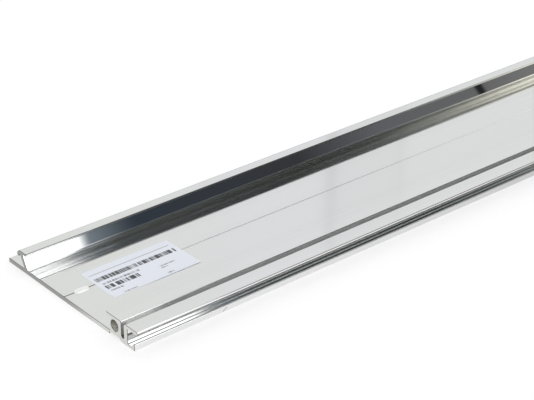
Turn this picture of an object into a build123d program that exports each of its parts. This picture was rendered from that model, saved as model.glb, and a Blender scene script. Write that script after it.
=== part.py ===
from build123d import *
from math import cos, radians, tan
import os

# Mounting rail for control cabinets: one sawn length of extruded aluminium, with its paper label.
# Millimetres. X runs along the stock, Y across it towards the hook, Z up from the back face.
# The section is drawn with places across it measured from the hook-side edge, and heights
# measured from the back face.

# Whole profile
stock_length = 830.0
profile_width = 155.0
edge_radius = 0.3
cut_overrun = 1.0

# Base plate, with a scribed centre line for drilling
plate_thickness = 3.0
groove_across = 69.6
groove_width = 0.9
groove_depth = 0.4

# Hook that modules hang from: a leaning web under a flat head that turns down at the back
hook_height = 15.6
hook_foot_across = 22.05
hook_lean = 26.0
web_thickness = 2.3
web_foot_radius = 1.3
web_head_radius = 1.2
head_reach = 11.2
head_nose_across = 11.9
head_thickness = 1.6
nose_height = 4.7
nose_thickness = 2.6
nose_neck_height = 2.8
nose_top_radius = 3.7
nose_end_radius = 0.9

# Device rail: two lips of the usual 35 mm rail, on a hollow boss and a wall
rail_width = 35.0
rail_height = 15.7
lip_thickness = 2.05
lip_edge_radius = 0.4
lip_root_radius = 0.7
upper_lip_reach = 4.4
lower_lip_reach = 11.0
wall_thickness = 3.6
wall_shoulder_radius = 2.2
hollow_back_wall = 1.05
hollow_front_wall = 2.65

# Trough along the foot of the wall, and the bead in front of it that ends the plate
front_flange_reach = 7.3
bead_width = 1.2
bead_height = 4.5
trough_floor = 1.85
trough_floor_width = 3.3
trough_wall_radius = 0.5
trough_bead_radius = 1.5

# Screw slot between the boss and the wall
screw_slot_width = 3.4
screw_slot_floor = 3.6

# Relief in the back face, under the boss
relief_depth = 2.0
relief_width = 10.4
relief_slope = 4.6
relief_setback = 1.2

# Fixing slots, on the centre line near each end
fixing_slot_length = 12.0
fixing_slot_width = 6.5
fixing_slot_from_end = 15.0

# Paper label on the plate
label_length = 75.0
label_width = 41.0
label_thickness = 0.12
label_corner_radius = 1.0
label_from_end = 26.0
label_across = 72.2

# Places across the section that follow from the sizes above
wall_front = profile_width - lower_lip_reach
wall_back = wall_front - wall_thickness
boss_front = wall_back - screw_slot_width
upper_lip_tip = profile_width - rail_width
boss_back = upper_lip_tip + upper_lip_reach
base_width = wall_front + front_flange_reach
bead_back = base_width - bead_width
trough_front = wall_front + trough_floor_width
lip_underside = rail_height - lip_thickness
head_front = head_nose_across + head_reach
head_underside = hook_height - head_thickness
neck_underside = hook_height - nose_neck_height

# The section lies at the far end, facing back along the stock
section_plane = Plane(
    origin=(stock_length / 2, profile_width / 2, 0),
    x_dir=(0, -1, 0),
    z_dir=(-1, 0, 0),
)


def block(start, end, low, high):
    # Rectangle between two places across the section and two heights
    return Pos((start + end) / 2, (low + high) / 2) * Rectangle(end - start, high - low)


def rounded(profile, corners, radius):
    # Rounds the corners of a profile that lie nearest to the given points
    chosen = [profile.vertices().sort_by_distance(Vector(*corner))[0] for corner in corners]
    return fillet(chosen, radius)


def web_place(height, side):
    # Place of the web's centre line, or of its front (+1) or back (-1) face, at a height
    centre = hook_foot_across - (height - plate_thickness) * tan(radians(hook_lean))
    return centre + side * web_thickness / 2 / cos(radians(hook_lean))


def plate_profile():
    groove = make_face(Polyline(
        (groove_across - groove_width / 2, plate_thickness),
        (groove_across, plate_thickness - groove_depth),
        (groove_across + groove_width / 2, plate_thickness),
        close=True,
    ))
    return block(0, wall_front, 0, plate_thickness) - groove


def flange_profile():
    return make_face(Polyline(
        (wall_front, 0),
        (wall_front, trough_floor),
        (trough_front, trough_floor),
        (bead_back, bead_height),
        (base_width, bead_height),
        (base_width, 0),
        close=True,
    ))


def hook_profile():
    web_root = plate_thickness / 2
    web = make_face(Polyline(
        (web_place(web_root, -1), web_root),
        (web_place(web_root, 1), web_root),
        (web_place(head_underside, 1), head_underside),
        (web_place(head_underside, -1), head_underside),
        close=True,
    ))
    nose_end = hook_height - nose_height
    nose_front = head_nose_across + nose_thickness
    neck_front = web_place(neck_underside, 0)
    head = make_face(Polyline(
        (head_nose_across, nose_end),
        (head_nose_across, hook_height),
        (head_front, hook_height),
        (head_front, head_underside),
        (neck_front, head_underside),
        (neck_front, neck_underside),
        (nose_front, neck_underside),
        (nose_front, nose_end),
        close=True,
    ))
    head = rounded(head, [(head_nose_across, hook_height)], nose_top_radius)
    head = rounded(head, [(head_nose_across, nose_end), (nose_front, nose_end)], nose_end_radius)
    return web + head


def rail_profile():
    core = block(boss_back, wall_front, 0, rail_height)
    upper_lip = block(upper_lip_tip, boss_front, lip_underside, rail_height)
    lower_lip = block(wall_back, profile_width, lip_underside, rail_height)
    slot_radius = screw_slot_width / 2
    slot_middle = (boss_front + wall_back) / 2
    slot_round = screw_slot_floor + slot_radius
    screw_slot = block(boss_front, wall_back, slot_round, rail_height + cut_overrun)
    screw_slot += Pos(slot_middle, slot_round) * Circle(slot_radius)
    hollow_radius = (boss_front - boss_back - hollow_back_wall - hollow_front_wall) / 2
    hollow_middle = boss_back + hollow_back_wall + hollow_radius
    hollow = Pos(hollow_middle, lip_underside - hollow_radius) * Circle(hollow_radius)
    return core + upper_lip + lower_lip - screw_slot - hollow


def relief_profile():
    start = boss_back - relief_setback
    return make_face(Polyline(
        (start, -cut_overrun),
        (start, relief_depth),
        (start + relief_width, relief_depth),
        (start + relief_width + relief_slope, 0),
        (start + relief_width + relief_slope, -cut_overrun),
        close=True,
    ))


def section_profile():
    section = plate_profile() + flange_profile() + hook_profile() + rail_profile() - relief_profile()
    web_feet = [(web_place(plate_thickness, side), plate_thickness) for side in (-1, 1)]
    section = rounded(section, web_feet, web_foot_radius)
    section = rounded(section, [(web_place(head_underside, 1), head_underside)], web_head_radius)
    section = rounded(section, [(wall_front, trough_floor)], trough_wall_radius)
    section = rounded(section, [(trough_front, trough_floor)], trough_bead_radius)
    section = rounded(section, [(wall_back, rail_height)], wall_shoulder_radius)
    lip_roots = [(boss_back, lip_underside), (wall_front, lip_underside)]
    section = rounded(section, lip_roots, lip_root_radius)
    lip_tips = (upper_lip_tip, profile_width)
    lip_edges = [(tip, height) for tip in lip_tips for height in (lip_underside, rail_height)]
    section = rounded(section, lip_edges, lip_edge_radius)
    rear_edges = [(0, 0), (0, plate_thickness)]
    front_edges = [(base_width, 0), (base_width, bead_height), (bead_back, bead_height)]
    head_edges = [(head_front, head_underside), (head_front, hook_height)]
    other_edges = [(boss_front, rail_height)]
    return rounded(section, rear_edges + front_edges + head_edges + other_edges, edge_radius)


def fixing_slots():
    groove_y = profile_width / 2 - groove_across
    slot = extrude(SlotOverall(fixing_slot_length, fixing_slot_width), plate_thickness + 2 * cut_overrun)
    end_x = stock_length / 2 - fixing_slot_from_end
    return [Pos(x, groove_y, -cut_overrun) * slot for x in (-end_x, end_x)]


def mounting_rail():
    stock = extrude(section_plane * section_profile(), stock_length)
    return stock - fixing_slots()


def paper_label():
    sheet = RectangleRounded(label_length, label_width, label_corner_radius)
    middle_x = -stock_length / 2 + label_from_end + label_length / 2
    middle_y = profile_width / 2 - label_across
    return Pos(middle_x, middle_y, plate_thickness) * extrude(sheet, label_thickness)


os.makedirs("parts", exist_ok=True)
export_step(mounting_rail(), "parts/mounting_rail.step")
export_step(paper_label(), "parts/paper_label.step")
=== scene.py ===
import math

import bpy
from mathutils import Matrix, Vector


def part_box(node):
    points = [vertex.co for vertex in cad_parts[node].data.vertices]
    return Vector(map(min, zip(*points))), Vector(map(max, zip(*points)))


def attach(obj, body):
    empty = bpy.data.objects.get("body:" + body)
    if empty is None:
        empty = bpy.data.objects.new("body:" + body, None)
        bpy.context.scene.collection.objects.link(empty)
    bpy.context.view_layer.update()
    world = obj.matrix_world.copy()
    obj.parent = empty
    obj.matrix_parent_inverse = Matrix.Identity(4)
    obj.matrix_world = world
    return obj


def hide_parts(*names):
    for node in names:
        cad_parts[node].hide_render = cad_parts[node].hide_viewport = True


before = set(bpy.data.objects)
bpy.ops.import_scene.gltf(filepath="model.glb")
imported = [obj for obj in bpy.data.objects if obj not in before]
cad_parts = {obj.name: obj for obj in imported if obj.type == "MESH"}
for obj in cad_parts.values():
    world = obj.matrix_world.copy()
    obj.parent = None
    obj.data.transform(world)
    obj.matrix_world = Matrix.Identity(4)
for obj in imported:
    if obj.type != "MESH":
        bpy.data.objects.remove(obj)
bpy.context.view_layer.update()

print("frame loaded:", sorted(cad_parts))

perMetre = 1000.0        # finishes and stage tones are placed in millimetres
lightBounces = 24        # light gets out of the narrow slot only after many bounces

scene = bpy.context.scene
scene.view_settings.view_transform = "Standard"
scene.cycles.max_bounces = lightBounces
scene.cycles.glossy_bounces = lightBounces


class Wire:
    # wraps one node socket, so that shader maths is written as plain expressions
    def __init__(self, tree, socket=None):
        self.tree = tree
        self.socket = socket

    def node(self, kind, settings=None, inputs=None, out=0):
        made = self.tree.nodes.new(kind)
        for name, value in (settings or {}).items():
            if name == "stops":
                fillRamp(made.color_ramp, value)
            else:
                setattr(made, name, value)
        for key, value in (inputs or {}).items():
            if isinstance(value, Wire):
                self.tree.links.new(value.socket, made.inputs[key])
            else:
                made.inputs[key].default_value = value
        return Wire(self.tree, made.outputs[out] if made.outputs else None)

    def maths(self, operation, first, second=0.0):
        return self.node("ShaderNodeMath", {"operation": operation}, {0: first, 1: second})

    def __add__(self, other):
        return self.maths("ADD", self, other)

    def __radd__(self, other):
        return self.maths("ADD", other, self)

    def __sub__(self, other):
        return self.maths("SUBTRACT", self, other)

    def __rsub__(self, other):
        return self.maths("SUBTRACT", other, self)

    def __mul__(self, other):
        return self.maths("MULTIPLY", self, other)

    def __rmul__(self, other):
        return self.maths("MULTIPLY", other, self)

    def __truediv__(self, other):
        return self.maths("DIVIDE", self, other)

    def __abs__(self):
        return self.maths("ABSOLUTE", self)

    def larger(self, other):
        return self.maths("MAXIMUM", self, other)

    def ramp(self, low, high):
        # 0 below low, 1 above high, smooth between them
        return self.node("ShaderNodeMapRange", {"interpolation_type": "SMOOTHSTEP"},
                         {0: self, 1: low, 2: high})

    def between(self, low, high, soft):
        return self.ramp(low - soft, low + soft) * (1 - self.ramp(high - soft, high + soft))


def fillRamp(ramp, stops):
    while len(ramp.elements) < len(stops):
        ramp.elements.new(1.0)
    for element, (place, colour) in zip(ramp.elements, stops):
        element.position = place
        element.color = (*colour, 1.0)


def newMaterial(name):
    material = bpy.data.materials.new(name)
    material.use_nodes = True
    material.node_tree.nodes.clear()
    return material, Wire(material.node_tree)


def finishMaterial(wire, shader):
    wire.node("ShaderNodeOutputMaterial", None, {"Surface": shader})


def objectPlace(wire):
    # object coordinates in millimetres: the whole vector, then along, across and up
    place = wire.node("ShaderNodeTexCoord", None, None, "Object")
    scaled = wire.node("ShaderNodeVectorMath", {"operation": "SCALE"}, {0: place, "Scale": perMetre})
    split = wire.node("ShaderNodeSeparateXYZ", None, {0: scaled})
    return [scaled] + [Wire(wire.tree, split.socket.node.outputs[axis]) for axis in "XYZ"]


def stretched(wire, place, scale, detail, roughness):
    # noise drawn out along the axes whose scale is small
    moved = wire.node("ShaderNodeMapping", None, {"Vector": place, "Scale": scale})
    return wire.node("ShaderNodeTexNoise", {"normalize": True},
                     {"Vector": moved, "Scale": 1.0, "Detail": detail, "Roughness": roughness})


def blendColour(wire, share, first, second):
    # the first colour where share is 0, the second where it is 1
    mixed = wire.node("ShaderNodeMix", {"data_type": "RGBA"})
    node = mixed.socket.node
    sockets = [socket for socket in node.inputs if socket.enabled]
    for socket, value in zip(sockets, (share, first, second)):
        if isinstance(value, Wire):
            wire.tree.links.new(value.socket, socket)
        elif socket.type == "RGBA":
            socket.default_value = (*value, 1.0)
        else:
            socket.default_value = value
    return Wire(wire.tree, [socket for socket in node.outputs if socket.enabled][0])


def setMaterial(piece, material):
    piece.data.materials.clear()
    piece.data.materials.append(material)


cameraView = {
    "place": (-0.9127, -0.7978, 0.5768),
    "forward": (0.5688, 0.6748, -0.4699),
    "right": (0.7646, -0.6446, 0.0),
    "lens": 108.3,
    "sensor": 36.0,
}


def addCamera(view):
    data = bpy.data.cameras.new("photoCamera")
    data.sensor_fit = "HORIZONTAL"
    data.sensor_width = view["sensor"]
    data.lens = view["lens"]
    camera = bpy.data.objects.new("photoCamera", data)
    scene.collection.objects.link(camera)
    back = -Vector(view["forward"]).normalized()
    right = Vector(view["right"]).normalized()
    up = back.cross(right)
    turn = Matrix((right, up, back)).transposed()
    camera.matrix_world = Matrix.Translation(view["place"]) @ turn.to_4x4()
    scene.camera = camera


addCamera(cameraView)
print("camera placed")


# places in mm, in the frame of the CAD model; a pair tells where a change begins and ends,
# and a third number how soft the two limits are
railFinish = {
    "bright": (0.868, 0.870, 0.868),
    "dull": (0.838, 0.842, 0.840),
    "roughness": 0.085,
    # noise, each as (scale, detail, roughness): streaks of the die, faint clouds, marks of the saw
    "streaks": {
        "dieLines": ((0.0015, 1.1, 1.1), 3.0, 0.6),
        "broadLines": ((0.0008, 0.16, 0.16), 2.0, 0.5),
        "cloud": ((0.012, 0.03, 0.03), 3.0, 0.5),
        "sawLines": ((1.0, 3.0, 0.25), 2.0, 0.5),
    },
    "broadTone": (0.3, 0.75), "broadShare": 0.6,
    "dieTone": (0.35, 0.7), "dieShare": 0.4,
    "uneven": {"dieLines": 0.04, "cloud": 0.04},     # how far each swings the roughness
    "dieHeight": 0.0006, "sawHeight": 0.02, "bumpDistance": 0.001,
    # sawn ends: painted shade, darker under the hook and paler at the boss, with a dull line where the edge
    # was deburred, darkened by painted shade
    "endX": 415.0, "sawnDepth": (0.02, 0.06),
    "sawnHookShade": (0.34, 0.34, 0.335), "sawnBossLight": (0.66, 0.66, 0.64), "sawnShadeTurns": (-38.0, 8.0),
    "sawnRoughness": 0.42,
    "burr": (0.12, 0.12, 0.115), "burrWidth": (0.45, 0.55),
    # round hollow, dull inside: across, up and radius, then the skin of its wall, with painted shade on its
    # roof and painted light on its floor
    "hollow": (-52.4, 9.2, 4.45), "hollowSkin": (0.03, 0.12),
    "hollowRoofShade": (0.30, 0.27, 0.20), "hollowFloorLight": (0.92, 0.92, 0.89), "hollowShadeTurns": (5.5, 11.0),
    "hollowDullness": 0.45,
    # screw slot, less metallic near its ends than in its middle, and paler near its ends from painted light
    "slot": (-62.9, -59.5, 0.05), "slotFloor": (3.2, 3.45), "slotTop": (15.1, 15.3),
    "slotTone": (0.72, 0.725, 0.72), "slotEndLight": (0.97, 0.97, 0.96), "slotDulls": (22.0, 42.0),
    "slotDullness": (0.92, 0.50),
    # scribed line: bright near the end, then dull and dark from painted shade, and paler again further
    # along
    "groove": (7.43, 8.37, 0.03), "grooveFloor": (2.4, 2.55),
    "grooveShadeTone": (0.50, 0.50, 0.495), "grooveDulls": (-330.0, -180.0), "grooveClears": (-200.0, 100.0),
    "grooveDullness": 0.9,
    # painted shade in the slot's mouth, and in the scribed line up to the fixing slot
    "recessShade": (0.10, 0.095, 0.08), "recessShadeDepth": (3.0, 6.0), "recessShadeTop": (13.6, 14.4),
    "grooveShadeEnd": (-390.0, -386.0),
    # one slanting scratch on the front of the bead: along and up, sine and cosine of its slant
    "nick": (-339.5, 1.8), "nickSlant": (0.5, 0.87), "nickFace": (-73.7, -73.5),
    "nickWidth": (-0.25, 0.25, 0.1), "nickLength": (-2.2, 2.2, 0.3), "nickShare": 0.7,
    # the web's face, smoother than the rest, and a painted highlight at its foot: a fine pale line, strong
    # near the sawn end
    "webAcross": (53.2, 61.5, 0.1), "webUp": (3.1, 13.9, 0.1), "webShine": 0.05,
    "footAcross": (54.0, 55.4, 0.1), "footUp": (3.7, 4.3, 0.1),
    "footShares": (0.70, 0.08), "footFades": (-375.0, -325.0),
    # dark lines of painted shade along the profile's rims and corners, which the die also left rougher, as
    # (across, up, reach, fade):
    # the head's front, under the lip, the bead's inner edge and the foot of the wall
    "edges": [
        (54.4, 15.6, 0.50, "slow"), (54.4, 14.0, 0.70, "slow"), (-77.5, 13.75, 0.65, "none"),
        (-72.6, 4.5, 0.45, "none"), (-66.5, 1.85, 0.25, "none"),
        (-72.6, 4.5, 0.95, "fast"), (-66.5, 1.85, 0.42, "fast"),
    ],
    "edgeShadeTone": (0.12, 0.12, 0.118),
    "edgeCore": 0.8,     # the share of its reach that is full
    # where along the rail such a line begins and ends to fade, and the share of it that is left
    "fades": {"slow": (-200.0, 20.0, 0.2), "fast": (-380.0, -310.0, 0.0), "none": (0.0, 1.0, 1.0)},
    # roughness added where each of these shows
    "rougher": {"groove": 0.22, "slot": 0.15, "hollow": 0.35, "nick": 0.3, "burr": 0.3, "edges": 0.3},
}


def squareAway(across, up, y, z):
    # square of the distance from a line that runs along the rail
    return (across - y) * (across - y) + (up - z) * (up - z)


def nickMask(finish, along, across, up):
    x, z = finish["nick"]
    sine, cosine = finish["nickSlant"]
    side = (along - x) * sine - (up - z) * cosine
    way = (along - x) * cosine + (up - z) * sine
    onFront = 1 - across.ramp(*finish["nickFace"])
    return side.between(*finish["nickWidth"]) * way.between(*finish["nickLength"]) * onFront


# painted shade lines along the profile's rims and corners
def edgeShadeMask(finish, along, across, up):
    mask = None
    for y, z, reach, fade in finish["edges"]:
        core = reach * finish["edgeCore"]
        line = 1 - squareAway(across, up, y, z).ramp(core ** 2, reach ** 2)
        start, end, left = finish["fades"][fade]
        line = line * (1 - along.ramp(start, end) * (1 - left))
        mask = line if mask is None else mask.larger(line)
    return mask


# painted highlight: a pale line at the web's foot, left less metallic
def footHighlightMask(finish, along, across, up):
    line = across.between(*finish["footAcross"]) * up.between(*finish["footUp"])
    nearShare, farShare = finish["footShares"]
    return line * (nearShare - along.ramp(*finish["footFades"]) * (nearShare - farShare))


def railMasks(finish, along, across, up):
    # how much of each finish shows, from 0 to 1
    fromEnd = finish["endX"] - abs(along)
    y, z, radius = finish["hollow"]
    skinStart, skinEnd = ((radius + skin) ** 2 for skin in finish["hollowSkin"])
    slot = across.between(*finish["slot"]) * up.ramp(*finish["slotFloor"])
    slot = slot * (1 - up.ramp(*finish["slotTop"]))
    groove = across.between(*finish["groove"]) * up.ramp(*finish["grooveFloor"])
    # painted shade near the sawn end, in the slot's mouth and at the scribed line's end
    slotRecessShade = slot * (1 - fromEnd.ramp(*finish["recessShadeDepth"])) * (1 - up.ramp(*finish["recessShadeTop"]))
    grooveEndShade = groove * (1 - along.ramp(*finish["grooveShadeEnd"]))
    return {
        "sawn": 1 - fromEnd.ramp(*finish["sawnDepth"]),
        "burr": 1 - fromEnd.ramp(*finish["burrWidth"]),
        "hollow": 1 - squareAway(across, up, y, z).ramp(skinStart, skinEnd),
        "slot": slot,
        "slotMiddle": fromEnd.ramp(*finish["slotDulls"]),
        "groove": groove,
        "dullShadedGroove": groove * along.ramp(*finish["grooveDulls"]),
        "recessShade": slotRecessShade.larger(grooveEndShade),
        "nick": nickMask(finish, along, across, up),
        "edges": edgeShadeMask(finish, along, across, up),
        "web": across.between(*finish["webAcross"]) * up.between(*finish["webUp"]),
        "footHighlight": footHighlightMask(finish, along, across, up),
    }


def railColour(finish, wire, masks, streaks, along, across, up):
    tone = streaks["broadLines"].ramp(*finish["broadTone"]) * finish["broadShare"]
    tone = tone + streaks["dieLines"].ramp(*finish["dieTone"]) * finish["dieShare"]
    colour = blendColour(wire, tone, finish["bright"], finish["dull"])
    # painted light: the slot is paler near its ends
    slotColour = blendColour(wire, masks["slotMiddle"], finish["slotEndLight"], finish["slotTone"])
    colour = blendColour(wire, masks["slot"], colour, slotColour)
    # painted shade darkens the scribed line from a little way in, and fades again further along
    clear = along.ramp(*finish["grooveClears"])
    grooveColour = blendColour(wire, clear, finish["grooveShadeTone"], colour)
    colour = blendColour(wire, masks["dullShadedGroove"], colour, grooveColour)
    # painted shade on the hollow's roof, painted light on its floor
    roof = up.ramp(*finish["hollowShadeTurns"])
    inside = blendColour(wire, roof, finish["hollowFloorLight"], finish["hollowRoofShade"])
    colour = blendColour(wire, masks["hollow"], colour, inside)
    # painted shade in the slot's mouth and at the end of the scribed line
    colour = blendColour(wire, masks["recessShade"], colour, finish["recessShade"])
    # painted shade along the profile's rims and corners
    colour = blendColour(wire, masks["edges"], colour, finish["edgeShadeTone"])
    # the deburred band at the sawn ends, darkened by painted shade, and the scratch on the bead
    scrapedAndShaded = masks["burr"].larger(masks["nick"] * finish["nickShare"])
    colour = blendColour(wire, scrapedAndShaded, colour, finish["burr"])
    # painted shade on the sawn ends: darker on the hook's side, paler at the boss
    hookSide = across.ramp(*finish["sawnShadeTurns"])
    sawnTone = blendColour(wire, hookSide, finish["sawnBossLight"], finish["sawnHookShade"])
    return blendColour(wire, masks["sawn"], colour, sawnTone)


def railRoughness(finish, masks, streaks):
    rough = finish["roughness"] - masks["web"] * finish["webShine"]
    for name, swing in finish["uneven"].items():
        rough = rough + (streaks[name] - 0.5) * swing     # the noise swings about 0.5
    for name, more in finish["rougher"].items():
        rough = rough + masks[name] * more
    return rough * (1 - masks["sawn"]) + masks["sawn"] * finish["sawnRoughness"]


def railMetal(finish, masks):
    # the slot, the hollow, the dulled scribed line and the painted highlight along the foot are not all
    # metal
    endShare, middleShare = finish["slotDullness"]
    dull = masks["slot"] * (endShare - masks["slotMiddle"] * (endShare - middleShare))
    dull = dull.larger(masks["hollow"] * finish["hollowDullness"])
    dull = dull.larger(masks["dullShadedGroove"] * finish["grooveDullness"])
    dull = dull.larger(masks["footHighlight"])
    return 1 - (1 - masks["sawn"]) * dull


def railBump(finish, wire, masks, streaks):
    height = streaks["dieLines"] * (1 - masks["sawn"]) * finish["dieHeight"]
    height = height + streaks["sawLines"] * masks["sawn"] * finish["sawHeight"]
    return wire.node("ShaderNodeBump", None, {
        "Height": height, "Distance": finish["bumpDistance"], "Strength": 1.0})


def aluminium(finish):
    material, wire = newMaterial("brightAluminium")
    place, along, across, up = objectPlace(wire)
    streaks = {name: stretched(wire, place, *noise) for name, noise in finish["streaks"].items()}
    masks = railMasks(finish, along, across, up)
    shader = wire.node("ShaderNodeBsdfPrincipled", None, {
        "Base Color": railColour(finish, wire, masks, streaks, along, across, up),
        "Metallic": railMetal(finish, masks),
        "Roughness": railRoughness(finish, masks, streaks),
        "Normal": railBump(finish, wire, masks, streaks),
    })
    finishMaterial(wire, shader)
    return material


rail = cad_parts["mounting_rail"]
setMaterial(rail, aluminium(railFinish))
print("rail finished")


labelSheet = {
    "paper": (0.745, 0.775, 0.847), "fibreShade": 0.96,
    "fibre": ((0.9, 0.9, 0.9), 4.0, 0.5),     # noise: scale, detail, roughness
    "ink": (0.035, 0.036, 0.042),
    "roughness": 0.55,
    # shape, in metres
    "columns": 50, "lines": 28,
    "corner": 0.0009, "cornerSegments": 4,
    "curl": 0.00022, "curlReach": 0.005,
    "curlStart": -0.28, "curlLength": 0.4,    # along the sheet, as shares of its length
    "clearance": 0.00001,                     # keeps the underside off the plate
    "smoothAngle": 40,
    # print, each area as (left, right, low, high) in mm: plain bars and grey rows that spell nothing
    "printEdge": 0.06,
    "rule": (-386.6, -317.4, 18.75, 19.25), "ruleInk": 0.8,
    # area, pitch and seed
    "bars": [
        ((-386.6, -317.0, 8.6, 13.6), 0.46, 7.0),
        ((-385.8, -357.6, -3.4, 1.6), 0.46, 210.0),
    ],
    "barShare": 0.64, "barInk": 0.97,
    "rows": [
        (-385.0, -354.0, 3.2, 5.4), (-385.6, -374.6, -7.2, -5.2), (-341.0, -327.0, -2.0, -0.6),
        (-341.0, -334.8, -4.6, -3.2), (-341.4, -335.4, -13.2, -11.4), (-379.0, -368.0, -14.2, -12.8),
    ],
    "rowPitch": 0.62, "rowInk": 0.9,
}


def stamp(sheet, along, across, area):
    left, right, low, high = area
    edge = sheet["printEdge"]
    return along.between(left, right, edge) * across.between(low, high, edge)


def scatter(wire, along, start, pitch, seed):
    # one random level for each step along the row
    step = wire.maths("FLOOR", (along - start) / pitch)
    return wire.node("ShaderNodeTexWhiteNoise", {"noise_dimensions": "1D"}, {"W": step + seed})


def labelInk(sheet, wire, along, across):
    ink = stamp(sheet, along, across, sheet["rule"]) * sheet["ruleInk"]
    for area, pitch, seed in sheet["bars"]:
        level = scatter(wire, along, area[0], pitch, seed)
        bar = wire.maths("LESS_THAN", level, sheet["barShare"])
        ink = ink.larger(bar * stamp(sheet, along, across, area) * sheet["barInk"])
    for area in sheet["rows"]:
        # the row's lower edge is its seed
        level = scatter(wire, along, area[0], sheet["rowPitch"], area[2]) * sheet["rowInk"]
        ink = ink.larger(level * stamp(sheet, along, across, area))
    return ink


def labelPaper(sheet):
    material, wire = newMaterial("labelPaper")
    place, along, across = objectPlace(wire)[:3]
    shaded = tuple(part * sheet["fibreShade"] for part in sheet["paper"])
    colour = blendColour(wire, stretched(wire, place, *sheet["fibre"]), sheet["paper"], shaded)
    colour = blendColour(wire, labelInk(sheet, wire, along, across), colour, sheet["ink"])
    shader = wire.node("ShaderNodeBsdfPrincipled", None, {
        "Base Color": colour, "Roughness": sheet["roughness"]})
    finishMaterial(wire, shader)
    return material


def roundCorners(piece, sheet, size):
    nearlyHalf = 0.499     # of the sheet's length and width: only its four corners lie further out
    for vertex in piece.data.vertices:
        farAlong = abs(vertex.co.x) > size.x * nearlyHalf
        farAcross = abs(vertex.co.y) > size.y * nearlyHalf
        vertex.select = farAlong and farAcross
    bpy.ops.object.mode_set(mode="EDIT")
    bpy.ops.mesh.bevel(offset=sheet["corner"], segments=sheet["cornerSegments"], affect="VERTICES")
    bpy.ops.object.mode_set(mode="OBJECT")


def addLabel(sheet):
    # the paper sheet, stuck down flat but for its front edge, which has come up a little at the right
    low, high = (Vector(corner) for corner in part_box("paper_label"))
    size = high - low
    middle = (low + high) / 2
    bpy.ops.object.select_all(action="DESELECT")
    bpy.ops.mesh.primitive_grid_add(
        x_subdivisions=sheet["columns"], y_subdivisions=sheet["lines"], size=1.0)
    piece = bpy.context.object
    piece.name = piece.data.name = "labelSheet"
    bpy.ops.object.mode_set(mode="EDIT")
    bpy.ops.mesh.select_all(action="SELECT")
    bpy.ops.transform.resize(value=(size.x, size.y, 1.0))
    bpy.ops.mesh.select_all(action="DESELECT")
    bpy.ops.object.mode_set(mode="OBJECT")
    roundCorners(piece, sheet, size)
    for vertex in piece.data.vertices:
        along = (vertex.co.x / size.x - sheet["curlStart"]) / sheet["curlLength"]
        along = min(max(along, 0.0), 1.0)
        near = max(0.0, 1.0 - (vertex.co.y + size.y / 2) / sheet["curlReach"])
        vertex.co = vertex.co + middle
        vertex.co.z = high.z + sheet["curl"] * along * near * near
    bpy.ops.object.modifier_add(type="SOLIDIFY")
    piece.modifiers[-1].thickness = size.z - sheet["clearance"]
    piece.modifiers[-1].offset = -1.0
    bpy.ops.object.modifier_apply(modifier=piece.modifiers[-1].name)
    bpy.ops.object.shade_smooth_by_angle(angle=math.radians(sheet["smoothAngle"]))
    setMaterial(piece, labelPaper(sheet))
    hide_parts("paper_label")
    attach(piece, "root")


addLabel(labelSheet)
print("label finished")


# stage: white floor, one soft box at the left, dark flags in front and overhead, pale rear card
studio = {
    # the cards' places, in metres
    "floorSize": 12.0, "floorZ": -0.00005,
    "left": -1.6, "right": 1.8,      # reach of the front and top cards along the rail
    "front": -0.50, "over": 0.60,    # the front card stands at this Y, the top card hangs at this Z
    "topBack": 0.30,
    "rear": 0.90, "rearTop": 1.50, "rearLeft": -2.6, "rearRight": 3.8,
    # tones, with their places in mm
    "floorAlbedo": 0.45, "floorGlow": 0.57,
    "floorNear": (1.0, 1.0, 1.0), "floorFar": (0.52, 0.52, 0.53), "floorFades": (-420, 160),
    "boxGlow": (2.1, 2.1, 2.1), "boxEdge": (-71, -44),
    "boxSpill": (0.19, 0.225, 0.255), "spillEdge": (-60, 25),
    "boxFoot": 190, "boxSlant": 0.20, "boxSlantOver": 0.18,     # its edge leans on both cards
    # along the rail from its middle: low and half-way up on the front card, then overhead
    "frontLow": [
        (40, (0.036, 0.045, 0.058)), (270, (0.041, 0.042, 0.047)), (410, (0.125, 0.128, 0.138)),
        (600, (0.15, 0.15, 0.152)), (760, (0.22, 0.22, 0.22)),
    ],
    "frontMiddle": [
        (80, (0.075, 0.088, 0.088)), (330, (0.050, 0.058, 0.057)), (475, (0.095, 0.115, 0.115)),
        (640, (0.50, 0.51, 0.48)), (780, (1.15, 1.13, 1.02)),
    ],
    "overhead": [
        (130, (0.056, 0.064, 0.056)), (400, (0.036, 0.041, 0.033)), (550, (0.075, 0.082, 0.070)),
        (720, (0.55, 0.54, 0.48)), (860, (1.75, 1.70, 1.42)),
    ],
    "toMiddle": (205, 260), "toOverhead": (410, 500),     # heights where one set turns into the next
    "spotAlong": (591, 605, 2), "spotUp": (120, 230, 10), "spotTone": (0.012, 0.012, 0.014),
    "rearTone": [
        (150, (0.803, 0.818, 0.796)), (500, (0.808, 0.816, 0.830)), (950, (0.808, 0.820, 0.818)),
    ],
    # two seams with a panel between them, each as (from, to, shade), which show as faint bars in the plate
    "seams": [(641, 664, 0.13), (806, 820, 0.07), (652, 813, 0.03)], "seamSoft": 8,
    "seamsFade": (600, 780), "seamsFaded": 0.4,
    "rearLow": (0.08, 0.08, 0.08), "rearLowUp": (70, 190, 30),
    "black": (0.0, 0.0, 0.0),
    "worldTone": (1.0, 1.0, 1.0, 1.0), "worldGlow": 1.0,
}


def glossyOnly(card):
    card.visible_camera = False
    card.visible_diffuse = False
    card.visible_transmission = False
    card.visible_volume_scatter = False
    card.visible_shadow = False


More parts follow.
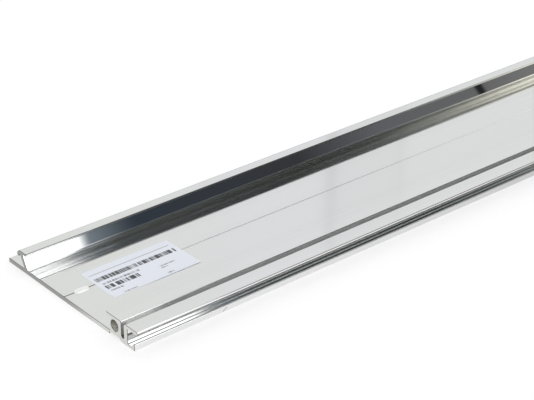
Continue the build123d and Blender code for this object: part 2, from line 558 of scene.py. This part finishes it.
def addCard(name, low, high, material):
    # a flat card between two corners, upright where they share their Y and level where they don't
    (x0, y0, z0), (x1, y1, z1) = low, high
    if y0 == y1:
        corners = [(x0, y0, z0), (x1, y0, z0), (x1, y0, z1), (x0, y0, z1)]
    else:
        corners = [(x0, y0, z0), (x1, y0, z0), (x1, y1, z0), (x0, y1, z0)]
    mesh = bpy.data.meshes.new(name)
    mesh.from_pydata(corners, [], [(0, 1, 2, 3)])
    card = bpy.data.objects.new(name, mesh)
    scene.collection.objects.link(card)
    card.data.materials.append(material)
    return card


def floorMaterial(values):
    # mirror images of the floor fade along the rail, the floor itself stays white
    material, wire = newMaterial("whiteFloor")
    along = objectPlace(wire)[1]
    glossy = wire.node("ShaderNodeLightPath", None, None, "Is Glossy Ray")
    albedo = values["floorAlbedo"]
    lit = wire.node("ShaderNodeBsdfDiffuse", None, {"Color": (albedo, albedo, albedo, 1.0)})
    faded = glossy * along.ramp(*values["floorFades"])
    tone = blendColour(wire, faded, values["floorNear"], values["floorFar"])
    glow = wire.node("ShaderNodeEmission", None, {"Color": tone, "Strength": values["floorGlow"]})
    finishMaterial(wire, wire.node("ShaderNodeAddShader", None, {0: lit, 1: glow}))
    return material


def glowMaterial(name, tone, values):
    material, wire = newMaterial(name)
    along, across, up = objectPlace(wire)[1:]
    glow = wire.node("ShaderNodeEmission", None, {"Color": tone(wire, values, along, across, up)})
    finishMaterial(wire, glow)
    return material


def alongTones(along, stops):
    start, reach = 200.0, 1200.0     # the ramp's own stretch: from this far left of the middle, so long
    level = (along + start) / reach
    places = [((x + start) / reach, colour) for x, colour in stops]
    return level.node("ShaderNodeValToRGB", {"stops": places}, {0: level})


def besideBox(wire, values, edge, tone):
    # the soft box lies left of its slanting edge, and spills a little light past it
    tone = blendColour(wire, edge.ramp(*values["spillEdge"]), values["boxSpill"], tone)
    return blendColour(wire, edge.ramp(*values["boxEdge"]), values["boxGlow"], tone)


def frontTone(wire, values, along, across, up):
    lowTone, middleTone, overhead = (
        alongTones(along, values[name]) for name in ("frontLow", "frontMiddle", "overhead"))
    tone = blendColour(wire, up.ramp(*values["toMiddle"]), lowTone, middleTone)
    tone = blendColour(wire, up.ramp(*values["toOverhead"]), tone, overhead)
    spot = along.between(*values["spotAlong"]) * up.between(*values["spotUp"])
    tone = blendColour(wire, spot, tone, values["spotTone"])
    return besideBox(wire, values, along - (up - values["boxFoot"]) * values["boxSlant"], tone)


def overTone(wire, values, along, across, up):
    # the box's edge goes on from where it meets the top of the front card
    start = (values["over"] * perMetre - values["boxFoot"]) * values["boxSlant"]
    behind = across - values["front"] * perMetre
    tone = alongTones(along, values["overhead"])
    return besideBox(wire, values, along - start + behind * values["boxSlantOver"], tone)


def rearTone(wire, values, along, across, up):
    soft = values["seamSoft"]
    shade = sum(along.between(start, end, soft) * share for start, end, share in values["seams"])
    shade = shade * (1 - up.ramp(*values["seamsFade"]) * values["seamsFaded"])
    tone = blendColour(wire, shade, alongTones(along, values["rearTone"]), values["black"])
    return blendColour(wire, up.between(*values["rearLowUp"]), tone, values["rearLow"])


def addStage(values):
    size, low = values["floorSize"], values["floorZ"]
    addCard("floor", (-size, -size, low), (size, size, low), floorMaterial(values))
    left, right, front, over = (values[key] for key in ("left", "right", "front", "over"))
    rear = values["rear"]
    cards = [
        addCard("frontCard", (left, front, 0.0), (right, front, over),
                glowMaterial("frontCardTone", frontTone, values)),
        addCard("topCard", (left, front, over), (right, values["topBack"], over),
                glowMaterial("topCardTone", overTone, values)),
        addCard("rearCard", (values["rearLeft"], rear, 0.0), (values["rearRight"], rear, values["rearTop"]),
                glowMaterial("rearCardTone", rearTone, values)),
    ]
    for card in cards:
        glossyOnly(card)


def addWorld(values):
    world = bpy.data.worlds.new("studioWorld")
    world.use_nodes = True
    world.node_tree.nodes.clear()
    wire = Wire(world.node_tree)
    shine = wire.node("ShaderNodeBackground", None, {
        "Color": values["worldTone"], "Strength": values["worldGlow"]})
    wire.node("ShaderNodeOutputWorld", None, {"Surface": shine})
    scene.world = world


addStage(studio)
addWorld(studio)
print("stage lit")
